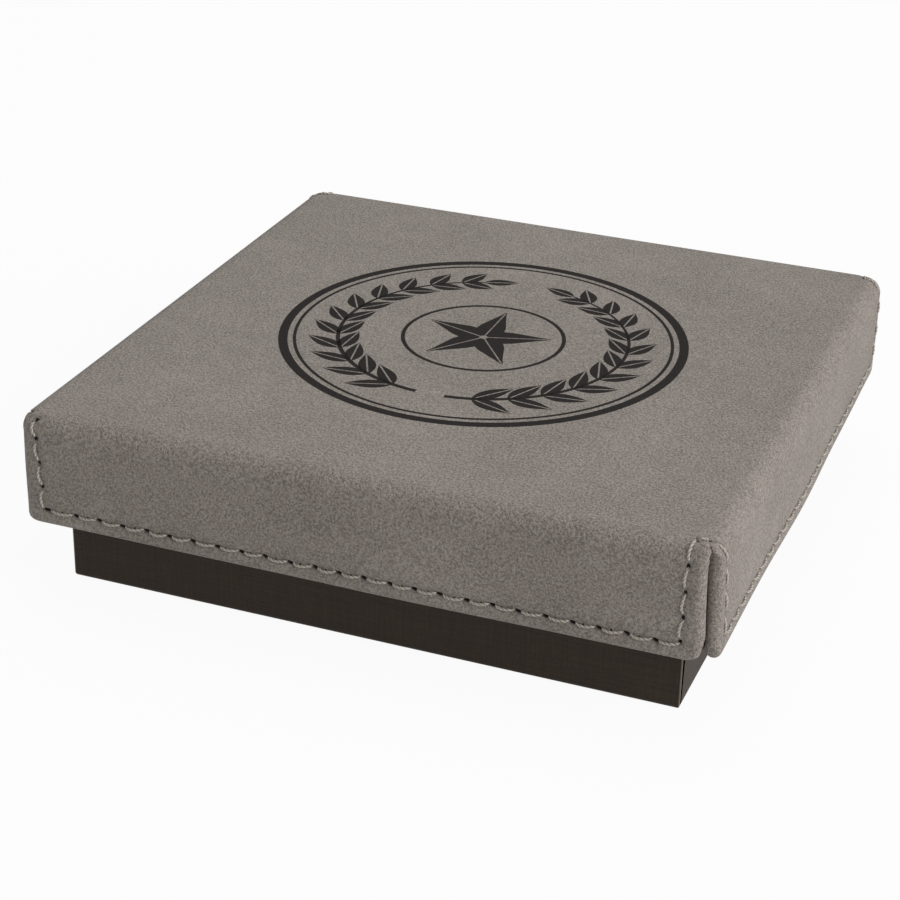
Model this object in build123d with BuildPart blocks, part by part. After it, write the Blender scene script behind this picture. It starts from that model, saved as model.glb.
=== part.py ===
from build123d import *
import math
import os

# Medal box: a base tray covered in paper, with a velvet insert for one round medal,
# closed by a lid that lifts straight off. The lid is a board tray inside a sewn,
# cross-shaped leatherette cover.
# Millimetres. +Z is up, the front faces -Y, and the origin is the centre of the underside.

os.makedirs("parts", exist_ok=True)

# Insert, from the medal outwards
medal_diameter = 70.0
medal_clearance = 0.5          # gap between the medal's edge and the recess wall
recess_depth = 6.0
recess_border = 7.4            # velvet border between the recess and the insert's side
notch_reach = 3.6              # how far a finger notch goes past the recess wall
notch_radius = 8.0
notch_blend = 2.4              # rounding where a notch runs out into the recess
velvet = 0.4
velvet_lip = 0.9               # rounding along the velvet's upper edges
pad_thickness = 3.0            # foam under the medal
platform_thickness = 1.2
well_height = 4.4              # space under the platform
riser_wall = 1.2
insert_corner = 2.0            # plan radius of the insert's corners
insert_clearance = 0.3

# Base tray
base_board = 2.0
base_paper = 0.3
floor_sheet = 0.3
turn_in = 12.0                 # depth to which the paper is turned in over the rim
base_edge = 0.7                # rounding of the paper along the lower edges
corner_gap_top = 0.36          # slit beside each front and back panel, at the rim
corner_gap_foot = 0.16         # the same slit at the foot
stay_leg = 10.0
stay_thickness = 0.12
stay_end_gap = 1.0             # bare board above and below each stay

# Lid tray
headroom = 4.55                # from the velvet to the lid's inner panel
lid_clearance = 0.5            # gap between the base's wall and the lid's wall, each side
lid_board = 1.6
lid_paper = 0.25
inner_panel = 0.8
inner_panel_gap = 0.2
reveal = 10.3                  # height of the base that shows below the lid
rim_recess = 0.5               # the cover hangs this far below the lid tray
tray_corner = 0.8
tray_edge = 0.5

# Sewn cover
leather = 1.2
stiffener = 0.9
lining = 0.5
lining_setback = 0.6           # the leather's hem is turned in below the lining
edge_roll = 2.8                # rounding along the top edges
corner_fullness = 0.2          # the upright corners are this much rounder than the top edges
hem_roll = 0.9                 # rounding along the lower edge
sewn_margin = 4.2              # leather border without a stiffener, where the seam runs
slit_width = 0.5               # gap between two flaps
slit_stop = 0.7                # distance from the top down to the end of the slit
slit_hole_radius = 0.65        # round hole punched at the end of the slit
lip_radius = 1.1               # rounding of each flap's end, beside the slit
flap_corner = 1.8              # rounding of each flap's lower corners

# Seam
stitch_pitch = 3.8
stitch_gap = 0.7               # leather between one stitch's hole and the next
seam_rise = 2.55               # the seam above the cover's lower edge
seam_end_inset = 4.2           # the seam from the lid's side, at each flap's end
thread = 0.5
thread_side_gap = 0.08
stitch_sink = 0.38             # depth to which the seam pulls the thread in
hole_depth = 1.0
hole_length = 0.5

# Sizes that follow
recess_radius = medal_diameter / 2 + medal_clearance
insert_half = recess_radius + recess_border
base_cavity = insert_half + insert_clearance
base_board_inner = base_cavity + base_paper
base_board_outer = base_board_inner + base_board
base_half = base_board_outer + base_paper
lid_cavity = base_half + lid_clearance
lid_board_inner = lid_cavity + lid_paper
lid_board_outer = lid_board_inner + lid_board
tray_half = lid_board_outer + lid_paper
lining_half = tray_half + lining
stiffener_half = lining_half + stiffener
lid_half = stiffener_half + leather

floor_top = base_paper + base_board + floor_sheet
platform_low = floor_top + well_height
pad_low = platform_low + platform_thickness
ring_low = pad_low + pad_thickness
ring_top = ring_low + recess_depth
velvet_top = ring_top + velvet
rim = velvet_top + headroom
lid_board_low = rim + inner_panel
lid_board_top = lid_board_low + lid_board
tray_top = lid_board_top + lid_paper
lining_top = tray_top + lining
stiffener_top = lining_top + stiffener
box_height = stiffener_top + leather
corner_round = edge_roll + corner_fullness
tray_low = reveal + rim_recess
passing = 1.0                  # how far a cutting shape runs past what it cuts


def block(half, low, high, corner=0.0, top_edge=0.0, foot_edge=0.0):
    """A square block from low to high, with its corners and edges rounded as asked."""
    with BuildPart() as made:
        with BuildSketch(Plane.XY.offset(low)):
            if corner:
                RectangleRounded(2 * half, 2 * half, corner)
            else:
                Rectangle(2 * half, 2 * half)
        extrude(amount=high - low)
        if top_edge:
            fillet(made.faces().sort_by(Axis.Z)[-1].edges(), top_edge)
        if foot_edge:
            fillet(made.faces().sort_by(Axis.Z)[0].edges(), foot_edge)
    return made.part


def save(piece, name):
    piece.part.label = name
    export_step(piece.part, "parts/" + name + ".step")


def corner_planes(half, upright):
    """A plane at each upright corner of a square. Local X runs inwards along the diagonal,
    or across it on an upright plane, whose local Y is up."""
    planes = []
    for quarter in range(4):
        turn = math.radians(45 + 90 * quarter)
        inward = Vector(-math.cos(turn), -math.sin(turn), 0)
        across = Vector(0, 0, 1).cross(inward)
        corner = Vector(math.cos(turn), math.sin(turn), 0) * half * math.sqrt(2)
        if upright:
            planes.append(Plane(corner, x_dir=across, z_dir=inward))
        else:
            planes.append(Plane(corner, x_dir=inward, z_dir=(0, 0, 1)))
    return planes


def corner_stays(board_half, low, high):
    """Four tapes, each folded round one upright corner of a board tray."""
    outer = board_half + stay_thickness
    with BuildPart() as stays:
        with BuildSketch(Plane.XY.offset(low)):
            for side_x in (-1, 1):
                for side_y in (-1, 1):
                    with Locations((side_x * outer, side_y * outer)):
                        Rectangle(2 * stay_leg, 2 * stay_leg)
            with BuildSketch(mode=Mode.PRIVATE) as ring:
                Rectangle(2 * outer, 2 * outer)
                Rectangle(2 * board_half, 2 * board_half, mode=Mode.SUBTRACT)
            add(ring.sketch, mode=Mode.INTERSECT)
        extrude(amount=high - low)
    return stays.part


# Base: the board tray, scored and folded up from one blank
with BuildPart() as base_board_tray:
    add(block(base_board_outer, base_paper, rim - base_paper))
    add(block(base_board_inner, base_paper + base_board, rim + passing), mode=Mode.SUBTRACT)
save(base_board_tray, "base_board_tray")

# Paper tapes that hold the base tray's corners together, under the wrap
with BuildPart() as base_corner_stays:
    add(corner_stays(base_board_outer, base_paper + stay_end_gap, rim - base_paper - stay_end_gap))
save(base_corner_stays, "base_corner_stays")

# Linen-embossed paper: underside and walls, turned in over the rim.
# The front and back panels lap the side panels, which end a little short of them.
gap_top = base_half - base_paper
gap_foot_height = base_paper + base_edge
with BuildPart() as corner_gaps:
    with BuildSketch(Plane.YZ.offset(base_board_outer + stay_thickness)):
        for side in (-1, 1):
            with BuildLine():
                Polyline(
                    (side * gap_top, gap_foot_height),
                    (side * gap_top, rim - base_paper),
                    (side * (gap_top - corner_gap_top), rim - base_paper),
                    (side * (gap_top - corner_gap_foot), gap_foot_height),
                    close=True,
                )
            make_face()
    extrude(amount=base_paper)
    mirror(about=Plane.YZ)

with BuildPart() as base_paper_wrap:
    add(block(base_half, 0, rim, foot_edge=base_edge))
    add(block(base_board_inner, base_paper, rim - turn_in), mode=Mode.SUBTRACT)
    add(block(base_cavity, rim - turn_in, rim + passing), mode=Mode.SUBTRACT)
    add(base_board_tray.part, mode=Mode.SUBTRACT)
    add(base_corner_stays.part, mode=Mode.SUBTRACT)
    add(corner_gaps.part, mode=Mode.SUBTRACT)
save(base_paper_wrap, "base_paper_wrap")

# Paper sheet pasted over the floor
with BuildPart() as base_floor_sheet:
    add(block(base_board_inner, base_paper + base_board, floor_top))
save(base_floor_sheet, "base_floor_sheet")

# Card frame that carries the insert and leaves a well under it
with BuildPart() as insert_riser:
    add(block(insert_half, floor_top, platform_low))
    add(block(insert_half - riser_wall, floor_top - passing, platform_low + passing), mode=Mode.SUBTRACT)
save(insert_riser, "insert_riser")

# Card plate on the riser
with BuildPart() as insert_platform:
    add(block(insert_half, platform_low, pad_low, corner=insert_corner))
save(insert_platform, "insert_platform")


def recess(grow):
    """Outline of the medal recess with a finger notch at the left and at the right."""
    with BuildSketch() as outline:
        Circle(recess_radius + grow)
        with Locations(*[(side * (recess_radius + notch_reach - notch_radius), 0) for side in (-1, 1)]):
            Circle(notch_radius + grow)
        fillet(outline.vertices(), notch_blend - grow)
    return outline.sketch


# Lower foam pad, which is the floor under the medal
foam_half = insert_half - velvet
foam_corner = insert_corner - velvet
with BuildPart() as insert_foam_pad:
    add(block(foam_half, pad_low, ring_low, corner=foam_corner))
save(insert_foam_pad, "insert_foam_pad")

# Foam ring, die-cut with the recess and its finger notches
with BuildPart() as insert_foam_ring:
    add(block(foam_half, ring_low, ring_top, corner=foam_corner))
    with BuildSketch(Plane.XY.offset(ring_low)):
        add(recess(velvet))
    extrude(amount=recess_depth, mode=Mode.SUBTRACT)
save(insert_foam_ring, "insert_foam_ring")

# Velvet over the ring, down into the recess and down the sides to the platform
with BuildPart() as insert_velvet:
    add(block(insert_half, pad_low, velvet_top, corner=insert_corner, top_edge=velvet_lip))
    with BuildSketch(Plane.XY.offset(ring_low + velvet)):
        add(recess(0))
    extrude(amount=recess_depth, mode=Mode.SUBTRACT)
    lip_edges = insert_velvet.faces().filter_by(Plane.XY).sort_by(Axis.Z)[-1].inner_wires()[0].edges()
    fillet(lip_edges, velvet_lip)
    add(insert_foam_pad.part, mode=Mode.SUBTRACT)
    add(insert_foam_ring.part, mode=Mode.SUBTRACT)
save(insert_velvet, "insert_velvet")

# Lid: the board tray that slips over the base
board_corner = tray_corner - lid_paper
with BuildPart() as lid_board_tray:
    add(block(lid_board_outer, tray_low + lid_paper, lid_board_top, corner=board_corner))
    add(block(lid_board_inner, reveal, lid_board_low), mode=Mode.SUBTRACT)
save(lid_board_tray, "lid_board_tray")

# Paper tapes at the lid tray's corners, folded against the rounded board
with BuildPart() as lid_corner_stays:
    add(block(lid_board_outer + stay_thickness, tray_low + lid_paper + stay_end_gap,
              lid_board_top - stay_end_gap, corner=tray_corner - lid_paper + stay_thickness))
    add(lid_board_tray.part, mode=Mode.SUBTRACT)
    add(block(lid_board_inner, reveal, lid_board_low), mode=Mode.SUBTRACT)
    with BuildSketch(Plane.XY.offset(reveal)):
        Rectangle(2 * lid_half, 2 * (lid_board_outer - stay_leg))
        Rectangle(2 * (lid_board_outer - stay_leg), 2 * lid_half)
    extrude(amount=box_height - reveal, mode=Mode.SUBTRACT)
save(lid_corner_stays, "lid_corner_stays")

# Outer form of the wrapped lid tray, which the cover's lining is glued to
tray_form = block(tray_half, tray_low, tray_top, corner=tray_corner, top_edge=tray_edge)

# Paper wrap of the lid tray, folded round its rim and up its inside walls
with BuildPart() as lid_paper_wrap:
    add(tray_form)
    add(block(lid_cavity, reveal, lid_board_low), mode=Mode.SUBTRACT)
    add(lid_board_tray.part, mode=Mode.SUBTRACT)
    add(lid_corner_stays.part, mode=Mode.SUBTRACT)
save(lid_paper_wrap, "lid_paper_wrap")

# Covered card that lines the lid and comes down on the base's rim
with BuildPart() as lid_inner_panel:
    add(block(lid_cavity - inner_panel_gap, rim, lid_board_low))
save(lid_inner_panel, "lid_inner_panel")

# Slit between two flaps, in plan: each flap's end is rounded in from the upright corner.
# The lip's circle touches the corner's circle from inside, and the slit's straight side.
corner_centre = corner_round * math.sqrt(2)
lip_across = slit_width / 2 + lip_radius
lip_inward = corner_centre - math.sqrt((corner_round - lip_radius) ** 2 - lip_across ** 2)
lip_scale = corner_round / (corner_round - lip_radius)
touch_inward = corner_centre + (lip_inward - corner_centre) * lip_scale
touch_across = lip_across * lip_scale
cover_thickness = leather + stiffener + lining
slit_end = (cover_thickness + corner_round) * math.sqrt(2)
lip_middle = Vector(lip_inward, lip_across) + Vector(-1, -1).normalized() * lip_radius

with BuildPart() as corner_slits:
    with BuildSketch(*[plane.offset(reveal - passing) for plane in corner_planes(lid_half, False)]):
        with BuildLine():
            for side in (-1, 1):
                Line((-passing, side * touch_across), (touch_inward, side * touch_across))
                ThreePointArc(
                    (touch_inward, side * touch_across),
                    (lip_middle.X, side * lip_middle.Y),
                    (lip_inward, side * slit_width / 2),
                )
                Line((lip_inward, side * slit_width / 2), (slit_end, side * slit_width / 2))
            Line((-passing, -touch_across), (-passing, touch_across))
            Line((slit_end, -slit_width / 2), (slit_end, slit_width / 2))
        make_face()
    extrude(amount=box_height - slit_stop - reveal + passing)
    with BuildSketch(*corner_planes(lid_half, True)):
        with Locations((0, box_height - slit_stop)):
            Circle(slit_hole_radius)
        with BuildLine():
            foot = slit_width / 2 + flap_corner
            for side in (-1, 1):
                RadiusArc(
                    (side * foot, reveal),
                    (side * slit_width / 2, reveal + flap_corner),
                    side * flap_corner,
                )
                Line((side * foot, reveal), (side * foot, reveal - passing))
            Line((-slit_width / 2, reveal + flap_corner), (slit_width / 2, reveal + flap_corner))
            Line((-foot, reveal - passing), (foot, reveal - passing))
        make_face()
    extrude(amount=slit_end)

# Lining: the cloth back of the cover, cut to the same cross
with BuildPart() as cover_lining:
    add(block(lining_half, reveal + lining_setback, lining_top,
              corner=tray_corner + lining, top_edge=tray_edge + lining))
    add(block(tray_half, reveal, tray_top, corner=tray_corner, top_edge=tray_edge), mode=Mode.SUBTRACT)
    add(corner_slits.part, mode=Mode.SUBTRACT)
save(cover_lining, "cover_lining")

# Stiffener in the cover's top, cut back where the seam passes the corners
top_board_half = lid_half - sewn_margin
with BuildPart() as cover_top_board:
    add(block(top_board_half, lining_top, stiffener_top, corner=sewn_margin))
save(cover_top_board, "cover_top_board")

# Stiffeners in the four flaps, clear of the seam on three sides
side_board_width = 2 * (lid_half - seam_end_inset - sewn_margin / 2)
side_board_low = reveal + sewn_margin
side_board_high = box_height - edge_roll - stitch_gap
with BuildPart() as cover_side_boards:
    for quarter in range(4):
        turn = 90 * quarter
        outward = Vector(0, -1, 0).rotate(Axis.Z, turn)
        along = Vector(1, 0, 0).rotate(Axis.Z, turn)
        with BuildSketch(Plane(outward * lining_half, x_dir=along, z_dir=outward)):
            with Locations((0, (side_board_low + side_board_high) / 2)):
                Rectangle(side_board_width, side_board_high - side_board_low)
        extrude(amount=stiffener)
save(cover_side_boards, "cover_side_boards")


def seam_planes():
    """A plane for each straight stitch: origin at its middle on the leather, local X along
    the seam and local Y out of the leather."""
    half_run = lid_half - seam_end_inset
    low = reveal + seam_rise
    high = box_height - edge_roll - thread / 2
    along_count = round(2 * half_run / stitch_pitch)
    up_count = round((high - low) / stitch_pitch)
    spots = [((index + 0.5) / along_count * 2 * half_run - half_run, low, 0) for index in range(along_count)]
    for side in (-1, 1):
        for index in range(up_count):
            spots.append((side * half_run, low + (index + 0.5) / up_count * (high - low), 90))
    planes = []
    for quarter in range(4):
        turn = 90 * quarter
        outward = Vector(0, -1, 0).rotate(Axis.Z, turn)
        along = Vector(1, 0, 0).rotate(Axis.Z, turn)
        for reach, height, tilt in spots:
            middle = outward * lid_half + along * reach + Vector(0, 0, height)
            heading = along if tilt == 0 else Vector(0, 0, 1)
            planes.append(Plane(middle, x_dir=heading, z_dir=heading.cross(outward)))
    return planes


# One stitch from the side: a low bridge whose two ends go down into its needle holes
half_stitch = (stitch_pitch - stitch_gap) / 2
stitch_planes = seam_planes()
with BuildPart() as one_stitch:
    with BuildSketch():
        with BuildLine():
            Polyline(
                (-half_stitch, -hole_depth),
                (-half_stitch, -stitch_sink / 2),
                (-half_stitch + hole_length, thread - stitch_sink),
                (half_stitch - hole_length, thread - stitch_sink),
                (half_stitch, -stitch_sink / 2),
                (half_stitch, -hole_depth),
                (half_stitch - hole_length, -stitch_sink),
                (-half_stitch + hole_length, -stitch_sink),
                close=True,
            )
        make_face()
    extrude(amount=thread / 2, both=True)

# The pocket that a stitch lies in: a sunk groove, deeper at each end
pocket_half = half_stitch + thread_side_gap
with BuildPart() as one_pocket:
    with BuildSketch():
        with BuildLine():
            Polyline(
                (-pocket_half, -hole_depth),
                (-pocket_half, passing),
                (pocket_half, passing),
                (pocket_half, -hole_depth),
                (half_stitch, -hole_depth),
                (half_stitch - hole_length, -stitch_sink),
                (-half_stitch + hole_length, -stitch_sink),
                (-half_stitch, -hole_depth),
                close=True,
            )
        make_face()
    extrude(amount=thread / 2 + thread_side_gap, both=True)



def roll_planes():
    """A plane for each stitch over a top edge: origin on the rolled edge's own axis, local X
    out of the flap and local Y up."""
    planes = []
    for quarter in range(4):
        turn = 90 * quarter
        outward = Vector(0, -1, 0).rotate(Axis.Z, turn)
        along = Vector(1, 0, 0).rotate(Axis.Z, turn)
        for side in (-1, 1):
            middle = outward * (lid_half - edge_roll) + along * side * (lid_half - seam_end_inset)
            planes.append(Plane(middle + Vector(0, 0, box_height - edge_roll), x_dir=outward, z_dir=-along))
    return planes


def around(radius, degrees):
    """A point at that distance and angle from the rolled edge's axis."""
    return (radius * math.cos(math.radians(degrees)), radius * math.sin(math.radians(degrees)))


# One stitch over a top edge, and its pocket: the same bridge, bent round the rolled edge
bent_planes = roll_planes()
under_thread = edge_roll - stitch_sink
over_thread = under_thread + thread
hole_foot = edge_roll - hole_depth
first_hole = math.degrees(stitch_gap / 2 / edge_roll)
first_full = first_hole + math.degrees(hole_length / edge_roll)
pocket_end = first_hole - math.degrees(thread_side_gap / edge_roll)
with BuildPart() as one_roll_stitch:
    with BuildSketch():
        with BuildLine():
            Polyline(
                around(under_thread, first_full),
                around(hole_foot, first_hole),
                around(edge_roll - stitch_sink / 2, first_hole),
                around(over_thread, first_full),
            )
            CenterArc((0, 0), over_thread, first_full, 90 - 2 * first_full)
            Polyline(
                around(over_thread, 90 - first_full),
                around(edge_roll - stitch_sink / 2, 90 - first_hole),
                around(hole_foot, 90 - first_hole),
                around(under_thread, 90 - first_full),
            )
            CenterArc((0, 0), under_thread, first_full, 90 - 2 * first_full)
        make_face()
    extrude(amount=thread / 2, both=True)

with BuildPart() as one_roll_pocket:
    with BuildSketch():
        with BuildLine():
            Polyline(
                around(under_thread, first_full),
                around(hole_foot, first_hole),
                around(hole_foot, pocket_end),
                around(edge_roll + passing, pocket_end),
            )
            CenterArc((0, 0), edge_roll + passing, pocket_end, 90 - 2 * pocket_end)
            Polyline(
                around(edge_roll + passing, 90 - pocket_end),
                around(hole_foot, 90 - pocket_end),
                around(hole_foot, 90 - first_hole),
                around(under_thread, 90 - first_full),
            )
            CenterArc((0, 0), under_thread, first_full, 90 - 2 * first_full)
        make_face()
    extrude(amount=thread / 2 + thread_side_gap, both=True)

with BuildPart() as cover_stitching:
    with Locations(*stitch_planes):
        add(one_stitch.part)
    with Locations(*bent_planes):
        add(one_roll_stitch.part)
save(cover_stitching, "cover_stitching")

# Leatherette: one cross-shaped skin, turned in round its edge, with slit corners
with BuildPart() as cover_leatherette:
    add(block(lid_half, reveal, box_height, corner=corner_round, top_edge=edge_roll, foot_edge=hem_roll))
    add(block(tray_half, reveal - passing, tray_top, corner=tray_corner, top_edge=tray_edge),
        mode=Mode.SUBTRACT)
    add(block(lining_half, reveal + lining_setback, lining_top,
              corner=tray_corner + lining, top_edge=tray_edge + lining), mode=Mode.SUBTRACT)
    add(cover_top_board.part, mode=Mode.SUBTRACT)
    add(cover_side_boards.part, mode=Mode.SUBTRACT)
    add(corner_slits.part, mode=Mode.SUBTRACT)
    with Locations(*stitch_planes):
        add(one_pocket.part, mode=Mode.SUBTRACT)
    with Locations(*bent_planes):
        add(one_roll_pocket.part, mode=Mode.SUBTRACT)
save(cover_leatherette, "cover_leatherette")
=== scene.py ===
import math

import bmesh
import bpy
import numpy as np
from mathutils import Matrix, Vector


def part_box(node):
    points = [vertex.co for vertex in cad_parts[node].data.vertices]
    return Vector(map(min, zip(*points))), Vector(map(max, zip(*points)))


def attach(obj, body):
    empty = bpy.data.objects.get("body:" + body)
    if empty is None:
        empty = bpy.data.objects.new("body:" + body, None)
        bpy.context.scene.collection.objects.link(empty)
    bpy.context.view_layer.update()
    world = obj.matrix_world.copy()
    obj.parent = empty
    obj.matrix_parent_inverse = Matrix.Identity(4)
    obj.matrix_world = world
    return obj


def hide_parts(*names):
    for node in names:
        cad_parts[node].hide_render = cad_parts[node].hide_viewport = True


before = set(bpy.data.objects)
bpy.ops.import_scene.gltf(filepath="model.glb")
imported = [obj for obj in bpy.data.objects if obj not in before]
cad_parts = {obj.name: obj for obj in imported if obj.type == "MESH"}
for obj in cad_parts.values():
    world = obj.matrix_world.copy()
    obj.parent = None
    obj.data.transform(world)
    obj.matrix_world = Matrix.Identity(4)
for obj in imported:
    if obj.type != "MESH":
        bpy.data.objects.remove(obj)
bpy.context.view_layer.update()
mm = 0.001

# Base tray and its paper.
# A grey board tray, scored and folded, covered with dark brown paper embossed like linen.
# The paper's front and back panels lap the side panels at the corners.


class Link:
    """A value in a material. Sums, products and powers of links add Math nodes."""

    def __init__(self, finish, socket):
        self.finish = finish
        self.socket = socket

    def math(self, operation, first, second):
        return self.finish.node("Math", {"operation": operation}, {0: first, 1: second})

    def __add__(self, other):
        return self.math("ADD", self, other)

    def __radd__(self, other):
        return self.math("ADD", other, self)

    def __rsub__(self, other):
        return self.math("SUBTRACT", other, self)

    def __mul__(self, other):
        return self.math("MULTIPLY", self, other)

    def __truediv__(self, other):
        return self.math("DIVIDE", self, other)

    def __pow__(self, other):
        return self.math("POWER", self, other)

    def __abs__(self):
        return self.math("ABSOLUTE", self, 0.0)

    def __gt__(self, other):
        return self.math("GREATER_THAN", self, other)

    def mix(self, low, high):
        """The colour low where this value is 0 and high where it is 1."""
        return self.finish.node("Mix", {"data_type": "RGBA"}, {0: self, 6: low, 7: high}, output=2)


class Finish:
    """A material: a Principled shader with constant sockets, and nodes that vary the rest."""

    def __init__(self, name, **constants):
        self.material = bpy.data.materials.new(name)
        self.material.use_nodes = True
        self.tree = self.material.node_tree
        self.shader = self.tree.nodes["Principled BSDF"]
        for socket, value in constants.items():
            self.shader.inputs[socket.replace("_", " ")].default_value = value

    def node(self, kind, settings=None, inputs=None, output=0):
        """Add a node, set its settings and then its sockets, and return one output."""
        made = self.tree.nodes.new("ShaderNode" + kind)
        for key, value in (settings or {}).items():
            if key == "stops":
                ramp = made.color_ramp
                while len(ramp.elements) < len(value):
                    ramp.elements.new(0.5)
                for element, (place, grey) in zip(ramp.elements, value):
                    element.position = place
                    element.color = (grey, grey, grey, 1)
            else:
                setattr(made, key, value)
        for key, value in (inputs or {}).items():
            if isinstance(value, Link):
                self.tree.links.new(value.socket, made.inputs[key])
            else:
                made.inputs[key].default_value = value
        return Link(self, made.outputs[output])

    def place(self, stretch=(1, 1, 1)):
        """Object coordinates, stretched along the axes."""
        place = self.node("TexCoord", output=3)
        return self.node("Mapping", {}, {0: place, 3: stretch})

    def coordinate(self, axis):
        """Place along one axis, 0 to 2, in Object coordinates."""
        return self.node("SeparateXYZ", {}, {0: self.place()}, output=axis)

    def noise(self, per_metre, detail=2.0, rough=0.5, stretch=(1, 1, 1)):
        """Cloudy noise from 0 to 1, with that many cells to the metre."""
        settings = {"Vector": self.place(stretch), "Scale": per_metre, "Detail": detail, "Roughness": rough}
        return self.node("TexNoise", {}, settings)

    def drive(self, socket, link):
        self.tree.links.new(link.socket, self.shader.inputs[socket])

    def blend(self, share, other):
        """Mix in another shader, which stands alone where share is 1."""
        mixed = self.node("MixShader", {}, {0: share, 1: Link(self, self.shader.outputs[0]), 2: other})
        self.tree.links.new(mixed.socket, self.tree.nodes["Material Output"].inputs["Surface"])

    def shadow(self, share):
        """Where share is 1, no light comes back, as from the depth of a narrow slit."""
        self.blend(share, self.node("BsdfDiffuse", {}, {"Color": (0.001, 0.001, 0.001, 1)}))

    def bump(self, height, depth):
        """Relief of that depth in metres on the surface."""
        relief = self.node("Bump", {}, {"Height": height, "Distance": depth, "Strength": 1.0})
        self.drive("Normal", relief)


def srgb(*levels):
    """A colour given as 0 to 255 screen levels, as linear light."""
    parts = [level / 255 for level in levels]
    linear = [p / 12.92 if p <= 0.04045 else ((p + 0.055) / 1.055) ** 2.4 for p in parts]
    return (*linear, 1.0)


def linen(name, dark, light, panel_half):
    """Paper embossed like linen: fine uneven threads along and across each face. The cut ends
    of the front and back panels are paler, and beside each a painted shadow darkens the slit
    and the side next to it. The painted shadow widens up to the height of the lid's edge and
    is even above that. Sizes are in metres, and a panel_half beyond the piece leaves both out."""
    threads_to_metre = 3000
    drawn_out = 0.05            # stretch of the noise along a thread
    panel_thick = 0.0004
    cut_depth = 0.00016         # the pale end, inwards from the side's face
    slit_shadow_depth = 0.00035        # the painted slit shadow, likewise
    slit_shadow_foot = 0.0009          # from the front face to the painted shadow's far side, at its foot
    slit_shadow_growth = 0.065         # the painted shadow's widening, as a share of the height
    lid_edge = 0.0103
    finish = Finish(name, Specular_IOR_Level=0.25)
    upright = finish.noise(threads_to_metre, 1.0, stretch=(1, 1, drawn_out))
    level_x = finish.noise(threads_to_metre, 1.0, stretch=(drawn_out, 1, 1))
    level_y = finish.noise(threads_to_metre, 1.0, stretch=(1, drawn_out, 1))
    weave = (upright + level_x + level_y) / 3.0
    uneven = weave * 0.9 + finish.noise(90) * 0.1
    tone = finish.node("ValToRGB", {"stops": [(0.30, 0), (0.70, 1)]}, {0: uneven})
    across_x = abs(finish.coordinate(0))
    across_y = abs(finish.coordinate(1))
    near_front = across_y > panel_half - panel_thick
    cut_end = near_front * (across_x > panel_half - cut_depth)
    height = finish.node("Math", {"operation": "MINIMUM"}, {0: finish.coordinate(2), 1: lid_edge})
    widening = height * slit_shadow_growth
    # Painted shadow of the slit: near black, reaching past the real slit and widening up to the lid's edge
    slit = (across_y + widening > panel_half - slit_shadow_foot) * (across_x > panel_half - slit_shadow_depth)
    finish.drive("Base Color", cut_end.mix(tone.mix(dark, light), srgb(122, 110, 98)))
    finish.drive("Roughness", 0.52 + weave * 0.2)
    finish.shadow(slit * (1 - near_front))
    finish.bump(weave, 0.00009)
    return finish.material


def coat(material, *nodes):
    """Put a material on CAD nodes in place of their plain one."""
    for name in nodes:
        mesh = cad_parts[name].data
        mesh.materials.clear()
        mesh.materials.append(material)


paper_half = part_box("base_paper_wrap")[1][0]
board_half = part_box("base_board_tray")[1][0]
base_linen = linen("base_linen_paper", srgb(36, 28, 21), srgb(70, 58, 47), paper_half)
coat(base_linen, "base_paper_wrap", "base_floor_sheet")


def slit_wall_shadow(finish):
    """Darken the wall where it shows through the paper's slits, at the ends of both sides."""
    wall_skin = 0.0002
    slit_reach = 0.0015
    on_side = abs(finish.coordinate(0)) > board_half - wall_skin
    finish.shadow(on_side * (abs(finish.coordinate(1)) > board_half - slit_reach))


grey_board = Finish("grey_board", Specular_IOR_Level=0.25)
pulp = grey_board.noise(900, 4.0, 0.6, stretch=(1, 1, 2.5))
flecks = grey_board.node("ValToRGB", {"stops": [(0.3, 0), (0.72, 1)]}, {0: pulp})
grey_board.drive("Base Color", flecks.mix(srgb(124, 119, 110), srgb(158, 153, 143)))
slit_wall_shadow(grey_board)
grey_board.drive("Roughness", 0.8 + pulp * 0.15)
grey_board.bump(pulp, 0.00006)
coat(grey_board.material, "base_board_tray", "lid_board_tray", "insert_platform", "insert_riser",
     "cover_top_board", "cover_side_boards")

stay_paper = Finish("stay_paper", Specular_IOR_Level=0.3)
fibre = stay_paper.noise(1500, 3.0, stretch=(1, 1, 0.2))
stay_paper.drive("Base Color", fibre.mix(srgb(165, 140, 108), srgb(196, 172, 138)))
stay_paper.drive("Roughness", 0.7 + fibre * 0.2)
stay_paper.bump(fibre, 0.00003)
slit_wall_shadow(stay_paper)
coat(stay_paper.material, "base_corner_stays", "lid_corner_stays")

# Velvet insert.
# Two foam pads on a card plate, the upper one die-cut for a round medal and two fingertips.
# A black short-pile velvet is laid over them, pressed into the recess and glued down the sides.


def extent(node):
    """A CAD node's low and high corners, in millimetres."""
    return [np.array(corner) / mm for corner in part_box(node)]


insert_low, insert_high = extent("insert_velvet")
insert_top = insert_high[2]
velvet_thick = 0.4
recess_radius = 35.5
recess_floor = extent("insert_foam_pad")[1][2] + velvet_thick
recess_lip = 1.3
floor_round = 0.5
notch_radius = 8.0
notch_depth = 3.6
notch_centre = recess_radius + notch_depth - notch_radius
notch_blend = 0.9
insert_edge = 1.5
insert_corner = 2.4
border_crown = 0.16
seat_gap = 0.02             # from the CAD box to the sides' foot, and to the border before its crown


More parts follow.
